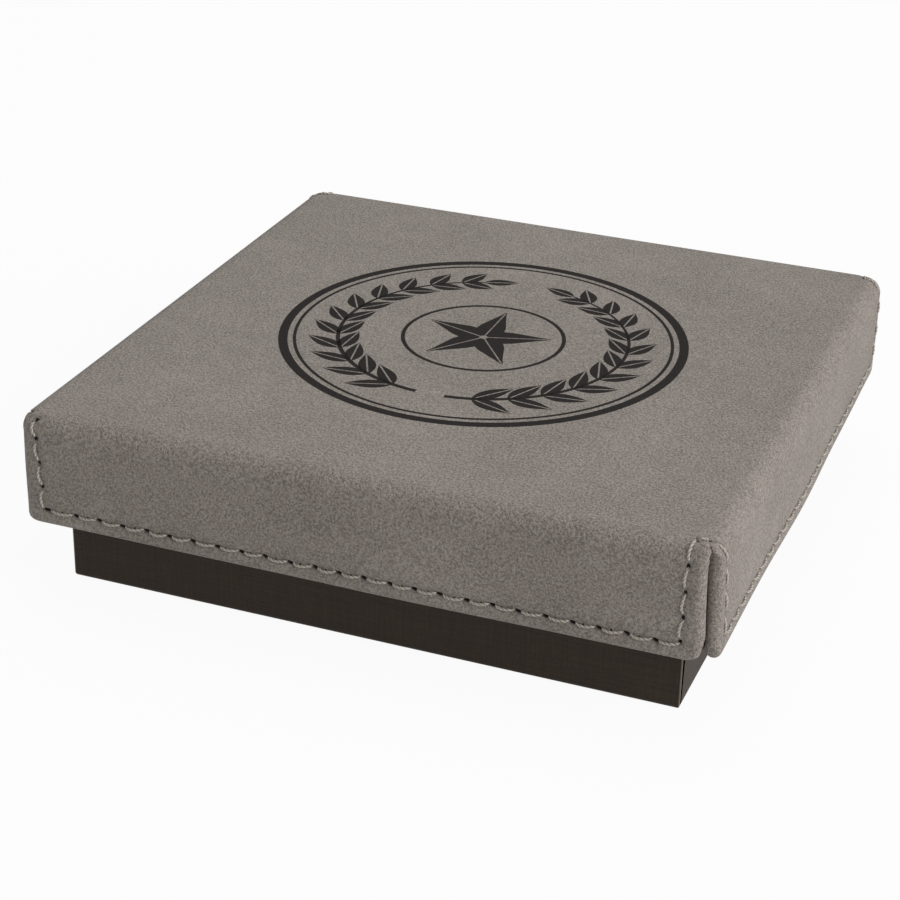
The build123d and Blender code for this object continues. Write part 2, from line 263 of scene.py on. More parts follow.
def weld(name, grids, material, body, smooth=True):
    """One mesh from grids of points in millimetres. Points that meet become one, and the
    faces are turned outwards."""
    made = bmesh.new()
    mesh = bpy.data.meshes.new(name)
    points = []
    faces = []
    for grid in grids:
        rows, columns = grid.shape[:2]
        start = sum(len(part) for part in points)
        points.append(grid.reshape(-1, 3) * mm)
        corner = start + (np.arange(rows - 1)[:, None] * columns + np.arange(columns - 1)).reshape(-1)
        faces.append(np.stack([corner, corner + 1, corner + columns + 1, corner + columns], 1))
    mesh.from_pydata(np.concatenate(points), [], np.concatenate(faces))
    made.from_mesh(mesh)
    bmesh.ops.remove_doubles(made, verts=made.verts, dist=2e-6)
    bmesh.ops.recalc_face_normals(made, faces=made.faces)
    for face in made.faces:
        face.smooth = smooth
    made.to_mesh(mesh)
    made.free()
    mesh.materials.append(material)
    piece = bpy.data.objects.new(name, mesh)
    bpy.context.scene.collection.objects.link(piece)
    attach(piece, body)
    return piece


def rounded_square(angle, half, corner):
    """Distance from the centre to a square with rounded corners, in each direction: the
    nearer of the straight side and, near a diagonal, the corner's circle."""
    fold = np.abs((angle + math.pi / 4) % (math.pi / 2) - math.pi / 4)
    side = half / np.cos(fold)
    offset = (half - corner) * math.sqrt(2)
    lean = math.pi / 4 - fold
    arc = offset * np.cos(lean) + np.sqrt(np.maximum(corner ** 2 - (offset * np.sin(lean)) ** 2, 0))
    return np.where(side * np.sin(fold) > half - corner, arc, side)


def soft_union(first, second, blend):
    """The larger of two lengths, with the change from one to the other rounded off."""
    gap = np.clip(0.5 + (first - second) / (2 * blend), 0, 1)
    return second + (first - second) * gap + blend * gap * (1 - gap)


def recess_edge(angle):
    """Distance from the centre to the recess wall: the medal's circle, widened at the left and
    the right by a smaller circle for a fingertip."""
    reach = np.abs(np.cos(angle)) * notch_centre
    inside = notch_radius ** 2 - (notch_centre * np.sin(angle)) ** 2
    notch = np.where(inside > 0, reach + np.sqrt(np.maximum(inside, 0)), 0)
    return soft_union(recess_radius, notch, notch_blend)


turn = np.linspace(0, 2 * math.pi, 481)
inner_edge = recess_edge(turn)
outer_edge = rounded_square(turn, insert_high[0], insert_corner)
quarter_turn = np.linspace(0, math.pi / 2, 8)
ripple = 0.05 * np.sin(7 * turn) + 0.04 * np.sin(12 * turn + 1)

# Each ring is a distance from the centre and a height: floor, wall, lip, border, edge, side, back
rings = [(inner_edge * share, recess_floor) for share in (0, 0.3, 0.6, 0.85, 0.96)]
for lean in quarter_turn:
    rings.append((inner_edge - floor_round + floor_round * math.sin(lean),
                  recess_floor + floor_round - floor_round * math.cos(lean)))
for share in np.linspace(0.15, 0.9, 6):
    rings.append((inner_edge + ripple * share,
                  recess_floor + share * (insert_top - recess_floor - recess_lip)))
for lean in quarter_turn:
    rings.append((inner_edge + recess_lip * (1 - math.cos(lean)),
                  insert_top - recess_lip * (1 - math.sin(lean))))
border_start = inner_edge + recess_lip
border_width = outer_edge - insert_edge - border_start
for share in np.linspace(0.12, 0.88, 10):
    crown = border_crown * math.sin(math.pi * share)
    rings.append((border_start + border_width * share, insert_top + crown - seat_gap + ripple * 0.5))
for lean in quarter_turn:
    rings.append((outer_edge - insert_edge * (1 - math.sin(lean)),
                  insert_top - insert_edge * (1 - math.cos(lean))))
side_height = insert_top - insert_edge - insert_low[2] - seat_gap
for share in (0.3, 0.7, 1.0):
    rings.append((outer_edge, insert_top - insert_edge - share * side_height))
rings.append((outer_edge * 0, insert_low[2] + seat_gap))
velvet_grid = np.stack([np.stack([reach * np.cos(turn), reach * np.sin(turn), height + 0 * turn], -1)
                        for reach, height in rings])

velvet = Finish("black_velvet", Sheen_Weight=0.65, Sheen_Roughness=0.35, Specular_IOR_Level=0.15,
                Sheen_Tint=srgb(176, 172, 170))
pile = velvet.noise(5200, 2.0)
brushed = velvet.noise(70, 4.0, 0.6)
tone = velvet.node("ValToRGB", {"stops": [(0.35, 0), (0.68, 1)]}, {0: pile * 0.6 + brushed * 0.4})
velvet.drive("Base Color", tone.mix(srgb(14, 13, 13), srgb(37, 35, 34)))
velvet.drive("Roughness", 0.85 + pile * 0.1)
velvet.bump(pile + brushed * 0.5, 0.00012)

velvet_insert = weld("velvet_insert", [velvet_grid], velvet.material, "base")
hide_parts("insert_velvet", "insert_foam_ring", "insert_foam_pad")

# Lid tray.
# A second board tray that slips over the base, covered in the same linen paper, which is folded
# round its rim and up its inside walls. A covered card lines the top.
beyond_lid = 1.0            # the lid's paper has neither cut ends nor slits, so no pale ends and no painted slit shadow
lid_linen = linen("lid_linen_paper", srgb(35, 27, 20), srgb(67, 56, 45), beyond_lid)
coat(lid_linen, "lid_paper_wrap", "lid_inner_panel")

# Cover lining.
# The cloth back of the cover, glued to the lid tray. It is cut to the same cross as the
# leatherette and is slit at the corners, so its edge shows under the lid's rim.
cover_low, cover_high = extent("cover_leatherette")
lining_low, lining_high = extent("cover_lining")
tray_high = extent("lid_paper_wrap")[1]


def smooth_step(value):
    """From 0 to 1, level at both ends."""
    value = np.clip(value, 0, 1)
    return value * value * (3 - 2 * value)


def turned(along, out, up, quarter):
    """One flap's own along, out and up as x, y and z, a quarter turn further for each flap."""
    x, y = along, -out
    for _ in range(quarter):
        x, y = -y, x
    return np.stack([x, y, up + 0 * x], -1)


def flap_columns(half, corner, lip, slit, notch, back, flats, bends):
    """Plan of one flap for each row: straight along the middle, then round to the diagonal.
    Where notch is 1 the end follows the corner's circle, then the lip's smaller circle, which
    touches the first from inside and the slit, then the slit's wall to the back point. Where
    notch is 0 it stays on the corner's circle."""
    half, corner, lip, slit, notch = (np.asarray(part, float)[:, None]
                                      for part in (half, corner, lip, slit, notch))
    straight = half - corner
    share = np.linspace(0, 1, bends + 1)[1:]
    plain = math.pi / 4 * share
    plain_along = straight + corner * np.sin(plain)
    plain_out = straight + corner * np.cos(plain)
    reach = slit + lip
    sag = np.sqrt(np.maximum((corner - lip) ** 2 - reach ** 2, 0))
    touch = np.arctan2(sag - reach, sag + reach)
    lip_along = straight + (sag - reach) / math.sqrt(2)
    lip_out = straight + (sag + reach) / math.sqrt(2)
    circle_end, lip_end = 0.35, 0.75        # shares of the columns where the circle and the lip end
    mouth = 0.75 * math.pi                  # the way from the lip's centre to the slit's mouth
    swing = touch * np.clip(share / circle_end, 0, 1)
    roll = touch + (mouth - touch) * np.clip((share - circle_end) / (lip_end - circle_end), 0, 1)
    mouth_along = lip_along + lip * math.sin(mouth)
    mouth_out = lip_out + lip * math.cos(mouth)
    inward = np.clip((share - lip_end) / (1 - lip_end), 0, 1)
    cut_along = np.where(share <= circle_end, straight + corner * np.sin(swing),
                         np.where(share <= lip_end, lip_along + lip * np.sin(roll),
                                  mouth_along + (back[0][:, None] - mouth_along) * inward))
    cut_out = np.where(share <= circle_end, straight + corner * np.cos(swing),
                       np.where(share <= lip_end, lip_out + lip * np.cos(roll),
                                mouth_out + (back[1][:, None] - mouth_out) * inward))
    end_along = plain_along + (cut_along - plain_along) * notch
    end_out = plain_out + (cut_out - plain_out) * notch
    along = np.concatenate([-end_along[:, ::-1], straight * flats, end_along], 1)
    out = np.concatenate([end_out[:, ::-1], half + 0 * flats, end_out], 1)
    return along, out, np.concatenate([inward[::-1], 0 * flats, inward])


def sheet_flap(half, top, low, thick, roll, corner, lip, slit, apex, feet, flats, bends, heights):
    """One quarter of a closed cover with slit corners, as rows of a grid: from the centre of
    the top outwards, over the rolled edge, down the flap, round its hem, back up the inside
    and in to the centre again. Below the height apex the upright corner, a circle of radius
    corner, opens into a slit of half width slit with lips of radius lip. The hem's ends rise
    in the radii feet. flats, bends and heights set the grid's columns and rows."""
    inner_half = half - thick
    inner_corner = 0.5
    inner_shoulder = top - thick - inner_corner
    flap_length = top - roll - low - thick / 2
    least_corner = 0.25
    notch_rise = 0.6            # the corner's circle gives way over this height
    lip_reach = 2.2             # the lips grow full over this one
    inner_reach = 1.5           # and the slit inside over this one
    hole_width, hole_drop, hole_spread = 0.2, 0.8, 0.5      # the round hole near the slit's top
    straight = half - roll
    finer_from = straight * 0.9
    ring = np.concatenate([np.linspace(0, finer_from, 14), np.linspace(finer_from, straight, 12)[1:]])
    lean = np.linspace(0, math.pi / 2, 12)[1:]
    level = np.concatenate([top + 0 * ring, top - roll * (1 - np.cos(lean)),
                            top - roll - heights * flap_length])
    size = np.concatenate([ring, straight + roll * np.sin(lean), np.full(len(heights), half)])
    plan_corner = np.minimum(np.maximum(corner - (half - size), least_corner), np.maximum(size * 0.999, 1e-6))
    notch = smooth_step((apex + notch_rise - level) / notch_rise)
    lip_now = lip * (0.3 + 0.7 * smooth_step((apex - level) / lip_reach))
    slit_now = slit * smooth_step((apex - level) / 0.5)
    slit_now = slit_now + hole_width * np.exp(-((apex - level - hole_drop) / hole_spread) ** 2)
    # The slit's inner end follows a few levels, which the inside of the sheet shares
    count = len(heights)
    steps = np.arange(0, count, 6)
    first = len(level) - count
    back_level = np.minimum(level, inner_shoulder)
    for start, stop in zip(steps, [*steps[1:], count - 1]):
        back_level[first + start:first + stop] = min(level[first + start], inner_shoulder)
    back_slit = slit * smooth_step((inner_shoulder - back_level) / inner_reach)
    centre = inner_half - inner_corner * (1 - math.sqrt(0.5))
    back = (centre - back_slit / math.sqrt(2), centre + back_slit / math.sqrt(2))
    along, out, wall = flap_columns(size, plan_corner, lip_now, slit_now, notch, back, flats, bends)
    up = level[:, None] + (back_level - level)[:, None] * wall * notch[:, None]
    # The flap's lower corners are rounded: near its ends the hem rises in a quarter circle
    edge = np.abs(along[-1])
    round_foot = np.where(along[-1] < 0, *feet)
    far = edge.max() - edge
    rise = round_foot - np.sqrt(np.maximum(round_foot ** 2 - np.maximum(round_foot - far, 0) ** 2, 0))
    foot_rise = rise * (1 - wall)
    flap = smooth_step((top - roll - level) / flap_length)
    up = up + flap[:, None] * foot_rise
    # Inside of the sheet, on the same columns
    inner_rows = [first + step for step in [*steps, count - 1]][::-1]
    inner_level = np.minimum(level[inner_rows], inner_shoulder)
    inner_slit = slit * smooth_step((inner_shoulder - inner_level) / inner_reach)
    share = np.linspace(0, 1, bends + 1)[1:]
    turn_in = math.pi / 4 * share
    shift = inner_slit[:, None] / math.sqrt(2) * share ** 2
    end_along = inner_half - inner_corner + inner_corner * np.sin(turn_in) - shift
    end_out = inner_half - inner_corner + inner_corner * np.cos(turn_in) + shift
    flat_part = (inner_half - inner_corner) * flats + 0 * inner_slit[:, None]
    inner_along = np.concatenate([-end_along[:, ::-1], flat_part, end_along], 1)
    inner_out = np.concatenate([end_out[:, ::-1], inner_half + 0 * flat_part, end_out], 1)
    inner_up = inner_level[:, None] + foot_rise * flap[inner_rows][:, None]
    # Hem: half a circle from the outside of the sheet to its inside
    swing = np.linspace(0, math.pi, 9)[1:-1, None]
    middle_along, middle_out = (along[-1] + inner_along[0]) / 2, (out[-1] + inner_out[0]) / 2
    spread = np.hypot(along[-1] - inner_along[0], out[-1] - inner_out[0]) / 2
    hem_along = middle_along + (along[-1] - middle_along) * np.cos(swing)
    hem_out = middle_out + (out[-1] - middle_out) * np.cos(swing)
    hem_up = (up[-1] + inner_up[0]) / 2 + (up[-1] - inner_up[0]) / 2 * np.cos(swing)
    hem_up = hem_up - np.minimum(spread, thick / 2) * np.sin(swing)
    # Top of the inside: two rows round its shoulder, and one in to the centre
    closing = []
    for lean_in in (math.pi / 4, math.pi / 2):
        scale = (inner_half - inner_corner * (1 - math.cos(lean_in))) / inner_half
        closing.append((inner_along[-1] * scale, inner_out[-1] * scale,
                        inner_up[-1] + inner_corner * math.sin(lean_in)))
    closing.append((inner_along[-1] * 0, inner_out[-1] * 0, inner_up[-1] + inner_corner))
    closed = [np.stack(rows) for rows in zip(*closing)]
    return [np.concatenate(parts) for parts in zip((along, out, up), (hem_along, hem_out, hem_up),
                                                   (inner_along, inner_out, inner_up), closed)]


lining_cloth = Finish("lining_cloth", Specular_IOR_Level=0.2)
warp = lining_cloth.noise(2200, 1.0, stretch=(1, 1, 0.06))
weft = lining_cloth.noise(2200, 1.0, stretch=(0.06, 0.06, 1))
lining_cloth.drive("Base Color", (warp * 0.5 + weft * 0.5).mix(srgb(58, 51, 46), srgb(92, 83, 76)))
lining_cloth.drive("Roughness", 0.85 + warp * 0.1)
lining_cloth.bump(warp + weft, 0.00008)

lining_parts = sheet_flap(
    half=lining_high[0], top=lining_high[2] - 0.02, low=lining_low[2],
    thick=lining_high[0] - tray_high[0] - 0.03, roll=1.0, corner=1.3, lip=0.3, slit=0.35,
    apex=lining_high[2] - 1.2, feet=(1.2, 1.2), flats=np.linspace(-1, 1, 40), bends=8,
    heights=np.linspace(0, 1, 13)[1:])
cloth_lining = weld("cloth_lining", [turned(*lining_parts, quarter) for quarter in range(4)],
                    lining_cloth.material, "lid")
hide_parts("cover_lining")

# Leatherette cover.
# One cross-shaped skin of soft grey leatherette with a nubuck face, turned in round thin
# boards and sewn to its lining. The four flaps meet at slits below the rounded corners.
half = cover_high[0]
top = cover_high[2] + 0.3               # the skin stands a little full over its boards
low = cover_low[2] + 0.4                # and its hem hangs a little short
top_roll = 2.8
corner_radius = 3.0
sheet_thick = half - lining_high[0] - 0.02
slit_top = top - 0.75
slit_lip = 1.1
slit_half_width = 0.2
flap_feet = ((1.3, 3.0), (1.6, 1.9), (1.9, 1.7), (1.5, 0.8))    # radii of each flap's lower corners
seam_height = low + 2.55
stitch_pitch = 3.75
left_inset = (4.9, 4.6, 3.4, 4.0)       # seam from the lid's side, at each flap's left end
right_inset = (4.9, 3.6, 4.2, 5.0)      # and at its right end
corner_start = 3.0                      # the seam starts this far in from both sides, on the top
ply_rows = 21                           # points along each stitch
roll_length = top_roll * math.pi / 2
flap_start = half - top_roll


def profile(run):
    """Across the top's edge: run is the length along the surface, 0 where the flat top ends.
    Before that it is level, then a quarter circle, then upright. Returns out and up, and the
    surface's normal as out and up."""
    lean = np.clip(run / top_roll, 0, math.pi / 2)
    out = flap_start + np.minimum(run, 0) + top_roll * np.sin(lean)
    up = top - top_roll * (1 - np.cos(lean)) - np.maximum(run - roll_length, 0)
    return out, up, np.sin(lean), np.cos(lean)


def seam_marks(flap):
    """Needle holes of one flap, as along and run, in sewing order: over the left end's corner,
    down that end, along the bottom, up the right end and over its corner. At the front flap's
    lapped left end the row starts lower and leaves the corner sooner."""
    low_run = roll_length + top - top_roll - seam_height
    left = -(half - left_inset[flap])
    right = half - right_inset[flap]
    lapped = flap == 0
    down = np.array([0.12 if lapped else 0.02, 0.30, 0.53, 0.765, 1.0])
    bend = 0.3 if lapped else 0.8
    corner_share = np.minimum(down / 0.75, 1) ** bend
    down_along = -(half - corner_start) + (left + half - corner_start) * corner_share
    marks = list(zip(down_along, down * low_run))
    count = round((right - left) / stitch_pitch)
    for step in range(1, count + 1):
        drift = 0.10 * math.sin(step * 1.9 + flap * 2.3) * (step < count)
        dip = 0.08 * math.sin(step * 2.7 + flap)
        marks.append((left + (right - left) * step / count + drift, low_run + dip))
    upright = right + 0.24 * (half - corner_start - right)
    for share in (0.765, 0.53, 0.29, 0.015):
        marks.append((upright + 0.8 * (1 - share) ** 0.7 - 0.4, share * low_run))
    return marks


def on_flap(along, run, flap, lift=0.0):
    """A point on or above the cover's plain face."""
    out, up, normal_out, normal_up = profile(np.asarray(run, float))
    return turned(np.asarray(along, float), out + lift * normal_out, up + lift * normal_up, flap)


def stitch_path(flap, first, last):
    """Points of one stitch on the plain face, with the face's normal there and the way the
    thread sags: down on a level stitch, and away from the flap's right end on an upright one."""
    share = np.linspace(0, 1, ply_rows)
    along = first[0] + (last[0] - first[0]) * share
    run = first[1] + (last[1] - first[1]) * share
    path = on_flap(along, run, flap)
    level = abs(last[1] - first[1]) < 1
    aside = on_flap(along - (not level) * 1.0, run + level * 1.0, flap)
    return path, on_flap(along, run, flap, 1.0) - path, aside - path


stitches = []
for flap in range(4):
    marks = seam_marks(flap)
    if flap == 3:
        marks = marks[:-1]      # the front flap laps over this flap's end, so it lacks its last stitch
    for first, last in zip(marks, marks[1:]):
        stitches.append(stitch_path(flap, first, last))
    if flap < 3:                # and no thread crosses that corner
        start = on_flap(*marks[-1], flap)
        stop = on_flap(*seam_marks(flap + 1)[0], flap + 1)
        bridge = start + (stop - start) * np.linspace(0, 1, ply_rows)[:, None]
        stitches.append((bridge, np.tile([0.0, 0.0, 1.0], (ply_rows, 1)), bridge * 0))

# The grid is finer along the seam, where the needle pulled the leatherette in. Seam columns are
# places along a flap near its upright rows, and columns that nearly meet are dropped.
seam_columns = (-48.1, -47.6, -47.0, -46.4, 46.1, 46.8, 47.4, 47.8)
seam_band = 0.8
least_step = 0.0015
seam_share = 1 - (seam_height - low - sheet_thick / 2) / (top - top_roll - low - sheet_thick / 2)
flap_heights = np.unique(np.concatenate([np.linspace(0, 1, 24)[1:],
                                         seam_share + np.linspace(-0.055, 0.055, 11)]))
flap_flats = np.unique(np.concatenate([np.linspace(-1, 1, 129)] + [
    np.linspace(place - seam_band, place + seam_band, 7) / (half - corner_radius) for place in seam_columns]))
flap_flats = flap_flats[np.abs(flap_flats) <= 1]
flap_flats = flap_flats[np.concatenate([[True], np.diff(flap_flats) > least_step])]
cover_grids = []
for quarter, feet in enumerate(flap_feet):
    cover_parts = sheet_flap(half, top, low, sheet_thick, top_roll, corner_radius, slit_lip,
                             slit_half_width, slit_top, feet, flap_flats, bends=18, heights=flap_heights)
    cover_grids.append(turned(*cover_parts, quarter))


lap_slide = 2.3             # the front flap's end is drawn this far round the left corner
lap_spread = 5.0            # and the pull fades over this length
face_depth = 0.9            # the skin's outer face and what moves fully with it
seam_pull = 0.14
hole_pull = 0.75
hole_half_width = 0.25
hole_depth = 1.2
level_below = top - 5       # level stitches lie below this height, and crossing ones above it


def lap_round(points):
    """Slide the skin round the front left corner, so that the front flap ends on the left side.
    Each point has a place along the corner's outline and a depth behind it. The place moves by
    a bell curve round the corner's middle, and the depth stays."""
    centre = corner_radius - half
    x, y = points[:, 0] - centre, points[:, 1] - centre
    depth = np.where(x > 0, -y, np.where(y > 0, -x, np.hypot(x, y)))
    quarter = corner_radius * math.pi / 2
    place = np.where(x > 0, -x, np.where(y > 0, quarter + y, corner_radius * np.arctan2(-x, -y)))
    below_top = smooth_step((top - 0.1 - points[:, 2]) / 0.9)
    bell = np.exp(-((place - quarter / 2) / lap_spread) ** 2) * below_top
    place = place + lap_slide * bell
    angle = np.clip(place / corner_radius, 0, math.pi / 2)
    lapped = np.stack([centre - depth * np.sin(angle) + np.maximum(-place, 0),
                       centre - depth * np.cos(angle) + np.maximum(place - quarter, 0), points[:, 2]], -1)
    near = (depth > 0) & (bell > 0.002)
    return np.where(near[:, None], lapped, points)


def crown_height(x, y):
    """How far the lid's top stands up: a low dome with slight long waves."""
    dome = 0.12 * np.cos(x / half * 1.5) * np.cos(y / half * 1.5)
    return dome + 0.04 * np.sin(x / 13) * np.sin(y / 17 + 1)


def soft_shape(points):
    """The soft skin's unevenness in millimetres: a slight crown on the top, fullness and
    waves in the flaps that grow as they hang, a loose right flap with a flared front end, and
    a front flap that laps round the left corner."""
    x, y, z = points.T
    out_x = np.abs(x) > np.abs(y)
    depth = half - np.maximum(np.abs(x), np.abs(y))
    inside = smooth_step((depth - face_depth) / (sheet_thick - face_depth))
    outer = np.maximum(1 - inside, z > top - sheet_thick * 0.6)
    reach = np.where(out_x, y, x)
    hang = np.clip((top - top_roll - z) / (top - top_roll - low), 0, 1)
    wave = 0.10 * np.sin(reach / 11.0 + out_x * 1.3 + (x > 0)) + 0.06 * np.sin(reach / 5.3 + 2.0 * out_x)
    full = 0.22 * np.sin(math.pi * np.clip(hang / 0.78, 0, 1)) * np.cos(reach / half * 1.35)
    loose = np.where(out_x & (x > 0), 0.6, 0.25) * hang ** 2 * np.cos(reach / half * 1.5) ** 2
    flare = 0.55 * np.exp(-((y + half) / 16) ** 2 - ((x - half) / 12) ** 2) * hang ** 1.5
    push = (full + wave * hang + loose) * outer
    flat = np.clip((z - (top - 0.3)) / 0.3, 0, 1)
    return lap_round(points + np.stack([np.where(out_x, np.sign(x), 0) * push + flare,
                                        np.where(out_x, 0, np.sign(y)) * push,
                                        crown_height(x, y) * flat * outer + 0.35 * wave * hang], -1))


def seam_relief(points, shaped):
    """How near each point is to a stitch, from 0 to 1, and its place along and across the
    nearest needle hole, in half lengths and half widths. A hole is round on the upright rows,
    and long and slanted on the level ones."""
    near_stitch = np.zeros(len(points))
    hole_place = np.full((len(points), 3), 9.0)
    for path, out, _ in stitches:
        path = soft_shape(path) if shaped else path
        close = np.flatnonzero(np.abs(points - path[ply_rows // 2]).max(1) < 4.5)
        gaps = np.linalg.norm(points[close, None] - path[None], axis=2).min(1)
        near_stitch[close] = np.maximum(near_stitch[close], np.exp(-(gaps / 0.7) ** 2))
        line = path[4] - path[0]
        level = abs(line[2]) < 0.25 * np.linalg.norm(line) and path[0][2] < level_below
        line = line / np.linalg.norm(line) + np.array([0, 0, -0.2 * level])
        half_length = 0.55 if level else 0.3
        offset = points[close] - (path[0] + line * 0.8 * half_length)
        side = np.cross(out[0], line)
        place = np.stack([offset @ line / half_length, offset @ side / hole_half_width,
                          offset @ out[0] / hole_depth], -1)
        nearer = np.linalg.norm(place, axis=1) < np.linalg.norm(hole_place[close], axis=1)
        hole_place[close[nearer]] = place[nearer]
    return near_stitch, hole_place


def pulled(grid):
    """The skin's soft shape, drawn in along the stitches and deep into the needle holes."""
    points = grid.reshape(-1, 3)
    near_stitch, hole_place = seam_relief(points, shaped=False)
    pull = seam_pull * near_stitch + hole_pull * np.exp(-(hole_place ** 2).sum(1))
    x, y, z = points.T
    out_x = np.abs(x) > np.abs(y)
    lean = np.clip((z - (top - top_roll)) / top_roll, 0, 1)
    level = np.sqrt(1 - lean ** 2) * (np.maximum(np.abs(x), np.abs(y)) > half - 1)
    inward = np.stack([np.where(out_x, np.sign(x), 0) * level, np.where(out_x, 0, np.sign(y)) * level,
                       lean * (z > top - sheet_thick)], -1)
    return (soft_shape(points) - inward * pull[:, None]).reshape(grid.shape)


def settled_points(piece):
    """A piece's points in millimetres, after its doubles are merged."""
    flat = np.empty(len(piece.data.vertices) * 3)
    piece.data.vertices.foreach_get("co", flat)
    return flat.reshape(-1, 3) / mm


def mark_points(piece, name, kind, field, values):
    """Give each point of a piece a value that its material reads."""
    piece.data.attributes.new(name, kind, "POINT").data.foreach_set(field, values.reshape(-1))


leatherette = Finish("grey_leatherette", Specular_IOR_Level=0.28, Sheen_Weight=0.12, Sheen_Roughness=0.6)
clouds = leatherette.noise(55, 4.0, 0.55)
patches = leatherette.noise(260, 3.0, 0.6)
nap = leatherette.noise(2600, 2.0, 0.6)
grain = leatherette.noise(4600, 2.0, 0.6)
slow = leatherette.node("ValToRGB", {"stops": [(0.35, 0), (0.65, 1)]}, {0: clouds * 0.6 + patches * 0.4})
fine = leatherette.node("ValToRGB", {"stops": [(0.40, 0), (0.60, 1)]}, {0: nap * 0.5 + grain * 0.5})
seam_near = leatherette.node("Attribute", {"attribute_name": "seam_near"}, output=2)
hole_place = leatherette.node("Attribute", {"attribute_name": "hole_place"}, output=1)
from_hole = leatherette.node("VectorMath", {"operation": "LENGTH"}, {0: hole_place}, output=1)
slow_tone = slow.mix(srgb(136, 127, 120), srgb(163, 154, 147))
fine_tone = fine.mix(srgb(88, 81, 76), srgb(196, 188, 180))
skin = leatherette.node("Mix", {"data_type": "RGBA"}, {0: 0.5, 6: slow_tone, 7: fine_tone}, output=2)
# Painted shade: a little darker along the seam's groove, where the stitches pull the skin in
seam_shaded = (seam_near * 0.22).mix(skin, srgb(104, 97, 91))
# Painted shade: near black in the needle holes
hole_shade = leatherette.node("ValToRGB", {"stops": [(0.42, 1), (0.62, 0)]}, {0: from_hole * 0.5})
leatherette.drive("Base Color", hole_shade.mix(seam_shaded, srgb(22, 18, 17)))
leatherette.drive("Roughness", 0.74 + nap * 0.16)
leatherette.bump(nap * 0.6 + grain * 0.4 + patches * 0.5, 0.0004)

leather_cover = weld("leatherette_cover", [pulled(grid) for grid in cover_grids], leatherette.material, "lid")
near_stitch, hole_place = seam_relief(settled_points(leather_cover), shaped=True)
mark_points(leather_cover, "seam_near", "FLOAT", "value", near_stitch)
mark_points(leather_cover, "hole_place", "FLOAT_VECTOR", "vector", hole_place)
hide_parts("cover_leatherette")

# Perimeter seam.
# Pale two-ply thread in long stitches round the whole cover. Each stitch comes up out of its
# needle hole, lies along the surface a little to one side, and goes down at the next hole.
ply_sides = 9
ply_radius = 0.215
twists = 4.6                # half turns of the thread in one stitch of full length
stitch_start = 0.21         # share of the way at which the thread comes up
end_depth = 0.50            # depth of both ends under the face
arch = 0.54                 # and the rise from there to the middle
sag_depth = 0.24


def thread_grid(path, out, sag, seed):
    """One stitch as a tube whose section is a figure of eight that turns as it goes: two plies
    twisted together. Its height over the face is a steep arch, and it sags to one side, most
    near its start. Also returns how far out on a ply each point is."""
    share = np.linspace(0, 1, ply_rows)[:, None]
    length = np.linalg.norm(np.diff(path, axis=0), axis=1).sum()
    line = np.gradient(path, axis=0)
    line = line / np.linalg.norm(line, axis=1)[:, None]
    side = np.cross(out, line)
    places = stitch_start + (1 - stitch_start) * share[:, 0]
    path, out, side, sag = (np.stack([np.interp(places, share[:, 0], part[:, axis]) for axis in range(3)], -1)
                            for part in (path, out, side, sag))
    height = -end_depth + arch * np.sin(math.pi * share) ** 0.4
    drop = np.sin(math.pi * share ** 0.7)
    middle = path + height * out + (sag * sag_depth + side * 0.05 * math.sin(seed * 3.1)) * drop
    angle = np.linspace(0, 2 * math.pi, ply_sides)[None, :]
    twist = math.pi * twists * share * length / stitch_pitch + seed
    ply = np.abs(np.cos(angle - twist))
    radius = ply_radius * (0.60 + 0.40 * ply) * np.where((share < 0.01) | (share > 0.99), 0.3, 1)
    tube = (middle[:, None, :] + (radius * np.cos(angle))[..., None] * side[:, None]
            + (radius * np.sin(angle))[..., None] * out[:, None])
    return tube, ply


thread = Finish("pale_thread", Specular_IOR_Level=0.5, Sheen_Weight=0.3)
strands = thread.noise(3800, 2.0)
crown_of_ply = thread.node("Attribute", {"attribute_name": "ply"}, output=2)
dyed = strands.mix(srgb(178, 168, 156), srgb(236, 229, 219))
# Painted shade between the two plies: the valleys darker, the crowns in the thread's own colour
thread.drive("Base Color", (crown_of_ply ** 0.8).mix(srgb(84, 77, 70), dyed))
thread.drive("Roughness", 0.40 + strands * 0.2)
thread.bump(strands, 0.00004)

# Each tube is closed where it comes up. Its far end is left open, deep in the next needle hole.
twisted = [thread_grid(soft_shape(path), out, sag, number * 1.7)
           for number, (path, out, sag) in enumerate(stitches)]
thread_grids = []
for grid, _ in twisted:
    cap = np.repeat(grid[:1].mean(1, keepdims=True), ply_sides, 1)
    thread_grids.append(np.concatenate([cap, grid]))
seam_thread = weld("seam_thread", thread_grids, thread.material, "lid")
tube = settled_points(seam_thread)
ply_height = np.zeros(len(tube))
for grid, ply in twisted:
    close = np.flatnonzero(np.abs(tube - grid[ply_rows // 2].mean(0)).max(1) < 3)
    apart = np.linalg.norm(tube[close, None] - grid.reshape(1, -1, 3), axis=2)
    near = apart.min(1) < 0.02
    ply_height[close[near]] = ply.reshape(-1)[apart.argmin(1)[near]]
mark_points(seam_thread, "ply", "FLOAT", "value", ply_height)
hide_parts("cover_stitching")

